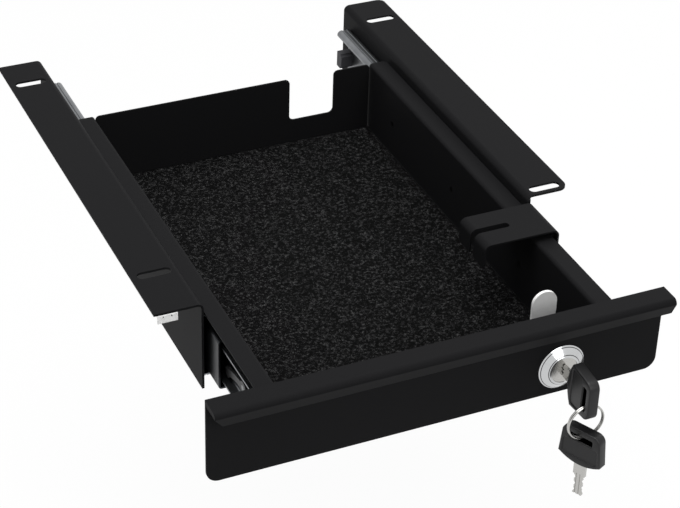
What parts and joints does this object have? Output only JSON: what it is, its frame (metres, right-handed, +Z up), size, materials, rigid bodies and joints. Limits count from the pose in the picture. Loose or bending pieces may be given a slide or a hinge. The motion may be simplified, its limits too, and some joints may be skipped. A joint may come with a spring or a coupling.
{
  "type": "under-desk drawer safe",
  "caption": "Shallow lockable steel drawer on ball-bearing slides between two folded brackets that screw up under a desk top, with a cam lock, keys and a felt liner.",
  "frame": {"origin": "centre of the rectangle of the four mounting slots, on the flanges' top face that screws up against the desk's underside", "axes": "+X to the right seen from the front, +Y from the front panel into the depth, +Z up towards the desk; the drawer opens along -Y"},
  "size_m": [0.3, 0.4589, 0.1171],
  "materials": {
    "black_powder_coat": "fine satin black powder coat",
    "zinc_steel": "zinc plated, satin",
    "ball_steel": "polished",
    "dark_steel": "dark zinc plating",
    "bumper_rubber": "matt dark grey",
    "lever_plastic": "matt black",
    "lock_chrome": "bright chrome",
    "nickel_steel": "bright nickel plating",
    "felt": "speckled charcoal felt",
    "key_plastic": "black, half gloss"
  },
  "bodies": {
    "frame": {"left_bracket": "black_powder_coat", "right_bracket": "black_powder_coat", "strike_plate": "black_powder_coat", "strike_rivets": "black_powder_coat", "flange_clip": "nickel_steel", "left_outer_rail": "zinc_steel", "right_outer_rail": "zinc_steel", "left_rail_bumper": "bumper_rubber", "right_rail_bumper": "bumper_rubber", "rail_rivets": "dark_steel"},
    "drawer": {"drawer_tray": "black_powder_coat", "drawer_back_wall": "black_powder_coat", "drawer_front_wall": "black_powder_coat", "front_panel": "black_powder_coat", "felt_liner": "felt", "left_drawer_rail": "zinc_steel", "right_drawer_rail": "zinc_steel", "drawer_rail_screws": "dark_steel", "lock_housing": "lock_chrome", "lock_nut": "zinc_steel"},
    "left_middle": {"left_middle_rail": "zinc_steel"},
    "right_middle": {"right_middle_rail": "zinc_steel"},
    "left_outer_ball_cage": {"left_outer_cage": "dark_steel", "left_outer_balls": "ball_steel"},
    "right_outer_ball_cage": {"right_outer_cage": "dark_steel", "right_outer_balls": "ball_steel"},
    "left_inner_ball_cage": {"left_inner_cage": "dark_steel", "left_inner_balls": "ball_steel"},
    "right_inner_ball_cage": {"right_inner_cage": "dark_steel", "right_inner_balls": "ball_steel"},
    "left_lever": {"left_release_lever": "lever_plastic"},
    "right_lever": {"right_release_lever": "lever_plastic"},
    "lock_core": {"lock_plug": "nickel_steel", "lock_cam": "nickel_steel", "cam_screw": "nickel_steel"},
    "key": {"key_blade": "nickel_steel", "key_head": "key_plastic"},
    "ring": {"split_ring": "nickel_steel"},
    "spare_key": {"spare_key_blade": "nickel_steel", "spare_key_head": "key_plastic"}
  },
  "joints": [
    {"name": "drawer_slide", "type": "slide", "parent": "frame", "child": "drawer", "axis": [0, -1, 0], "range_m": [-0.072, 0.182]},
    {"name": "left_middle_slide", "type": "slide", "parent": "frame", "child": "left_middle", "axis": [0, -1, 0], "range_m": [-0.036, 0.091]},
    {"name": "right_middle_slide", "type": "slide", "parent": "frame", "child": "right_middle", "axis": [0, -1, 0], "range_m": [-0.036, 0.091]},
    {"name": "left_outer_cage_slide", "type": "slide", "parent": "frame", "child": "left_outer_ball_cage", "axis": [0, -1, 0], "range_m": [-0.018, 0.0455]},
    {"name": "right_outer_cage_slide", "type": "slide", "parent": "frame", "child": "right_outer_ball_cage", "axis": [0, -1, 0], "range_m": [-0.018, 0.0455]},
    {"name": "left_inner_cage_slide", "type": "slide", "parent": "frame", "child": "left_inner_ball_cage", "axis": [0, -1, 0], "range_m": [-0.054, 0.1365]},
    {"name": "right_inner_cage_slide", "type": "slide", "parent": "frame", "child": "right_inner_ball_cage", "axis": [0, -1, 0], "range_m": [-0.054, 0.1365]},
    {"name": "left_lever_turn", "type": "hinge", "parent": "drawer", "child": "left_lever", "pos_m": [-0.1091, -0.2095, -0.0362], "axis": [1, 0, 0], "range_deg": [-5, 5]},
    {"name": "right_lever_turn", "type": "hinge", "parent": "drawer", "child": "right_lever", "pos_m": [0.1091, -0.2095, -0.0362], "axis": [1, 0, 0], "range_deg": [-5, 5]},
    {"name": "lock_turn", "type": "hinge", "parent": "drawer", "child": "lock_core", "pos_m": [0.081, -0.2535, -0.04289], "axis": [0, -1, 0], "range_deg": [0, 35]},
    {"name": "key_pull", "type": "slide", "parent": "lock_core", "child": "key", "axis": [0, -1, 0], "range_m": [0, 0.0155]},
    {"name": "ring_swing", "type": "hinge", "parent": "key", "child": "ring", "pos_m": [0.081, -0.2877, -0.04925], "axis": [1, 0, 0], "range_deg": [-25, 15]},
    {"name": "spare_key_swing", "type": "hinge", "parent": "ring", "child": "spare_key", "pos_m": [0.081, -0.2877, -0.07295], "axis": [1, 0, 0], "range_deg": [-20, 15]}
  ],
  "couplings": [
    {"joint": "left_middle_slide", "follows": "drawer_slide", "ratio": 0.5},
    {"joint": "right_middle_slide", "follows": "drawer_slide", "ratio": 0.5},
    {"joint": "left_outer_cage_slide", "follows": "drawer_slide", "ratio": 0.25},
    {"joint": "right_outer_cage_slide", "follows": "drawer_slide", "ratio": 0.25},
    {"joint": "left_inner_cage_slide", "follows": "drawer_slide", "ratio": 0.75},
    {"joint": "right_inner_cage_slide", "follows": "drawer_slide", "ratio": 0.75}
  ]
}
